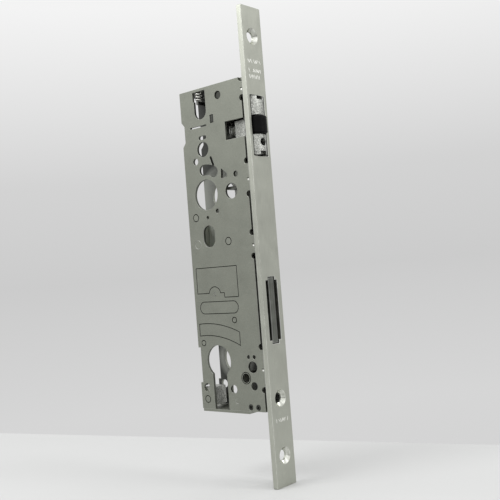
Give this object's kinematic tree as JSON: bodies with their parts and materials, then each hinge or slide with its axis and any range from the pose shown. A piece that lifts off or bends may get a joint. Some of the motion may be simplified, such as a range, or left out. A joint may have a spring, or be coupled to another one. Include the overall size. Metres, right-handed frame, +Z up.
{
  "type": "mortise lock",
  "caption": "narrow-stile mortise lock with a sprung roller catch, a sliding deadbolt and a euro-profile cylinder opening",
  "frame": {"origin": "middle of the forend's front face, halfway between its two fixing screws", "axes": "+X points out of the door's edge, +Z up along the forend, +Y across the door's thickness, away from the cover plate"},
  "size_m": [0.0542, 0.016, 0.256],
  "materials": {
    "forend_steel": "satin zinc-plated forend",
    "case_steel": "matt zinc-plated sheet",
    "bolt_steel": "dark ground steel",
    "slide_steel": "blanked sheet steel",
    "pin_steel": "turned steel, zinc plated",
    "screw_steel": "zinc-plated screw",
    "spring_steel": "bright drawn wire",
    "cast_zinc": "grainy die-cast zinc",
    "black_nylon": "black moulded nylon"
  },
  "bodies": {
    "case": {"forend": "forend_steel", "cover_plate": "case_steel", "case_body": "case_steel", "upper_pillar": "pin_steel", "rear_pillar": "pin_steel", "centre_pillar": "pin_steel", "bolt_guide_pin": "pin_steel", "rear_stop_pin": "pin_steel", "lower_spacer": "pin_steel", "cylinder_block": "cast_zinc", "block_pin": "pin_steel", "bottom_block": "cast_zinc", "bottom_screws": "screw_steel", "tumbler_guides": "pin_steel", "tumbler_spring_seat": "slide_steel", "tumbler_spring": "spring_steel", "catch_bracket": "slide_steel", "catch_spring": "spring_steel", "slide_guides": "pin_steel", "return_spring": "spring_steel"},
    "bolt": {"deadbolt": "bolt_steel", "near_bolt_cheek": "bolt_steel", "far_bolt_cheek": "bolt_steel", "bolt_rivets": "pin_steel"},
    "tumbler": {"tumbler": "slide_steel"},
    "catch": {"catch_holder": "cast_zinc", "roller_pin": "pin_steel", "catch_drive_pin": "pin_steel"},
    "roller": {"catch_roller": "black_nylon"},
    "adjuster": {"adjusting_screw": "screw_steel"},
    "slide": {"draw_slide": "slide_steel"}
  },
  "joints": [
    {"name": "bolt_throw", "type": "slide", "parent": "case", "child": "bolt", "axis": [1, 0, 0], "range_m": [0, 0.02]},
    {"name": "tumbler_drop", "type": "slide", "parent": "case", "child": "tumbler", "axis": [0, 0, -1], "range_m": [0, 0.003], "deforming": ["tumbler_spring"]},
    {"name": "catch_press", "type": "slide", "parent": "case", "child": "catch", "axis": [-1, 0, 0], "range_m": [0, 0.005], "stiffness_N_per_m": 900, "springref_m": -0.004, "deforming": ["catch_spring"]},
    {"name": "roller_spin", "type": "hinge", "parent": "catch", "child": "roller", "pos_m": [-0.0008, 0, 0.0639], "axis": [0, 0, 1], "continuous": true},
    {"name": "adjuster_turn", "type": "hinge", "parent": "catch", "child": "adjuster", "pos_m": [-0.005, 0, 0.0546], "axis": [1, 0, 0], "continuous": true},
    {"name": "slide_draw", "type": "slide", "parent": "case", "child": "slide", "axis": [0, 0, -1], "range_m": [0, 0.007], "deforming": ["return_spring"]}
  ],
  "couplings": [
    {"joint": "slide_draw", "follows": "catch_press", "ratio": 1.4}
  ]
}
